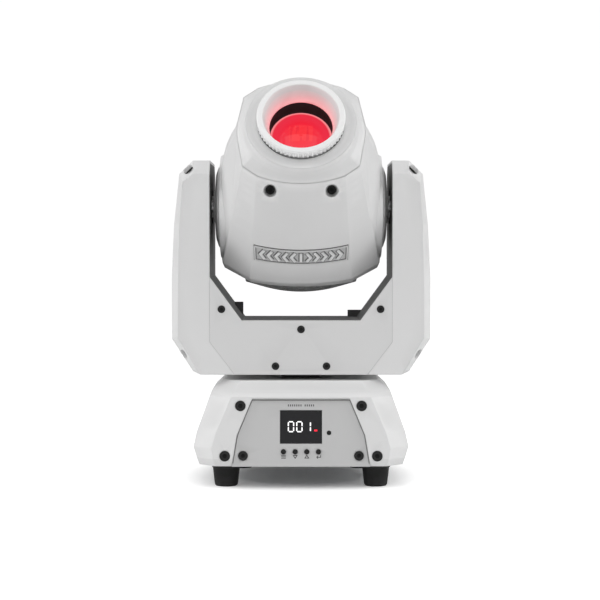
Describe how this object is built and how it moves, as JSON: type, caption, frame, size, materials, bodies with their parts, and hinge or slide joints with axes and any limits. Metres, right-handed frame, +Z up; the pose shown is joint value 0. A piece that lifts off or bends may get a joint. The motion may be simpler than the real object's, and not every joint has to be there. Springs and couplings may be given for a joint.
{
  "type": "moving head light",
  "caption": "White moving head stage spotlight: tilting lamp head with a knurled lens ring in a U-shaped yoke that pans on a tapered base with a small screen.",
  "frame": {"origin": "point on the pan axis at the underside of the base plate, 21 mm above the floor it stands on", "axes": "+Z up along the pan axis, the control panel faces -Y, the tilt axis runs along X"},
  "size_m": [0.252, 0.2455, 0.3873],
  "materials": {
    "white_shell": "satin moulded",
    "white_crossbar": "satin paint",
    "white_ring": "satin moulded",
    "grey_cap": "matt",
    "white_panel": "satin paint",
    "grey_liner": "matt",
    "black_rubber": "matt",
    "black_screw": "black oxide",
    "black_plastic": "matt",
    "screen": "gloss",
    "circuit_board": "solder mask",
    "steel_sheet": "zinc plated",
    "steel_bright": "ground",
    "dark_metal": "black anodised",
    "aluminium": "machined",
    "belt_rubber": "matt",
    "lens_glass": "clear, lit red",
    "clear_glass": "clear",
    "filter_glass": "dichroic"
  },
  "bodies": {
    "base": {"base_shell": "white_shell", "base_plate": "steel_sheet", "rubber_feet": "black_rubber", "base_chassis": "steel_sheet", "control_panel": "white_panel", "rear_panel": "white_panel", "base_screws": "black_screw", "display_module": "screen", "display_board": "circuit_board", "power_supply": "steel_sheet", "power_sockets": "black_plastic", "data_sockets": "black_plastic", "pan_post": "steel_bright", "pan_pulley": "dark_metal"},
    "yoke": {"yoke_liner": "grey_liner", "arm_cover_left": "white_shell", "arm_cover_right": "white_shell", "crossbar_cover_front": "white_crossbar", "crossbar_cover_rear": "white_crossbar", "yoke_screws": "black_screw", "yoke_bottom": "white_crossbar", "yoke_frame": "steel_sheet", "pan_motor": "dark_metal", "pan_belt": "belt_rubber", "pan_bearing": "steel_bright", "tilt_motor": "dark_metal", "tilt_belt": "belt_rubber", "tilt_bearings": "steel_bright"},
    "head": {"head_belly_shell": "white_shell", "head_back_shell": "white_shell", "rear_cap": "grey_cap", "front_bezel": "white_shell", "lens_tube": "dark_metal", "front_lens": "lens_glass", "hub_covers": "white_shell", "tilt_shafts": "steel_bright", "tilt_pulley": "aluminium", "head_frame": "steel_sheet", "lamp_board": "circuit_board", "condenser_lens": "clear_glass", "heat_sink": "aluminium", "fan_frame": "black_plastic", "optic_motors": "black_plastic", "head_screws": "black_screw"},
    "pan_motor_pulley": {"pan_motor_pulley": "aluminium"},
    "tilt_motor_pulley": {"tilt_motor_pulley": "aluminium"},
    "lens_ring": {"lens_ring": "white_ring"},
    "fan_rotor": {"fan_rotor": "black_plastic"},
    "colour_wheel": {"colour_wheel": "dark_metal", "colour_filters": "filter_glass"},
    "pattern_wheel": {"pattern_wheel": "dark_metal"},
    "prism_arm": {"prism_arm": "black_plastic"},
    "prism": {"prism": "clear_glass"},
    "focus_carriage": {"focus_carriage": "aluminium", "focus_lens": "clear_glass"},
    "focus_screw": {"focus_screw": "steel_bright"},
    "button_menu": {"button_menu": "black_plastic"},
    "button_down": {"button_down": "black_plastic"},
    "button_up": {"button_up": "black_plastic"},
    "button_enter": {"button_enter": "black_plastic"}
  },
  "joints": [
    {"name": "pan", "type": "hinge", "parent": "base", "child": "yoke", "pos_m": [0, 0, 0.099], "axis": [0, 0, 1], "range_deg": [-270, 270]},
    {"name": "tilt", "type": "hinge", "parent": "yoke", "child": "head", "pos_m": [0, 0, 0.248], "axis": [1, 0, 0], "range_deg": [-174, 56]},
    {"name": "pan_motor", "type": "hinge", "parent": "yoke", "child": "pan_motor_pulley", "pos_m": [0.062, 0, 0.089], "axis": [0, 0, 1], "range_deg": [-1360, 1360]},
    {"name": "tilt_motor", "type": "hinge", "parent": "yoke", "child": "tilt_motor_pulley", "pos_m": [-0.1, 0, 0.1212], "axis": [1, 0, 0], "range_deg": [-530, 530]},
    {"name": "lens_ring_turn", "type": "hinge", "parent": "head", "child": "lens_ring", "pos_m": [0, -0.12857, 0.32526], "axis": [0, -0.8572, 0.515], "range_deg": [0, 30]},
    {"name": "fan_spin", "type": "hinge", "parent": "head", "child": "fan_rotor", "pos_m": [0, 0.04543, 0.2207], "axis": [0, -0.8572, 0.515], "continuous": true},
    {"name": "colour_turn", "type": "hinge", "parent": "head", "child": "colour_wheel", "pos_m": [0, -0.03602, 0.23465], "axis": [0, -0.8572, 0.515], "continuous": true},
    {"name": "pattern_turn", "type": "hinge", "parent": "head", "child": "pattern_wheel", "pos_m": [0, -0.00855, 0.28814], "axis": [0, -0.8572, 0.515], "continuous": true},
    {"name": "prism_swing", "type": "hinge", "parent": "head", "child": "prism_arm", "pos_m": [0, -0.06535, 0.23827], "axis": [0, -0.8572, 0.515], "range_deg": [0, 60]},
    {"name": "prism_spin", "type": "hinge", "parent": "prism_arm", "child": "prism", "pos_m": [0.03637, -0.05539, 0.25678], "axis": [0, -0.8572, 0.515], "continuous": true},
    {"name": "focus_drive", "type": "hinge", "parent": "head", "child": "focus_screw", "pos_m": [0, -0.03186, 0.31148], "axis": [0, -0.8572, 0.515], "range_deg": [-455, 455]},
    {"name": "focus", "type": "slide", "parent": "head", "child": "focus_carriage", "axis": [0, -0.8572, 0.515], "range_m": [-0.01, 0.01]},
    {"name": "press_menu", "type": "slide", "parent": "base", "child": "button_menu", "axis": [0, 0.9793, -0.2026], "range_m": [0, 0.0008]},
    {"name": "press_down", "type": "slide", "parent": "base", "child": "button_down", "axis": [0, 0.9793, -0.2026], "range_m": [0, 0.0008]},
    {"name": "press_up", "type": "slide", "parent": "base", "child": "button_up", "axis": [0, 0.9793, -0.2026], "range_m": [0, 0.0008]},
    {"name": "press_enter", "type": "slide", "parent": "base", "child": "button_enter", "axis": [0, 0.9793, -0.2026], "range_m": [0, 0.0008]}
  ],
  "couplings": [
    {"joint": "pan_motor", "follows": "pan", "ratio": -5},
    {"joint": "tilt_motor", "follows": "tilt", "ratio": 3},
    {"joint": "focus_drive", "follows": "focus", "rad_per_m": 785.4}
  ]
}
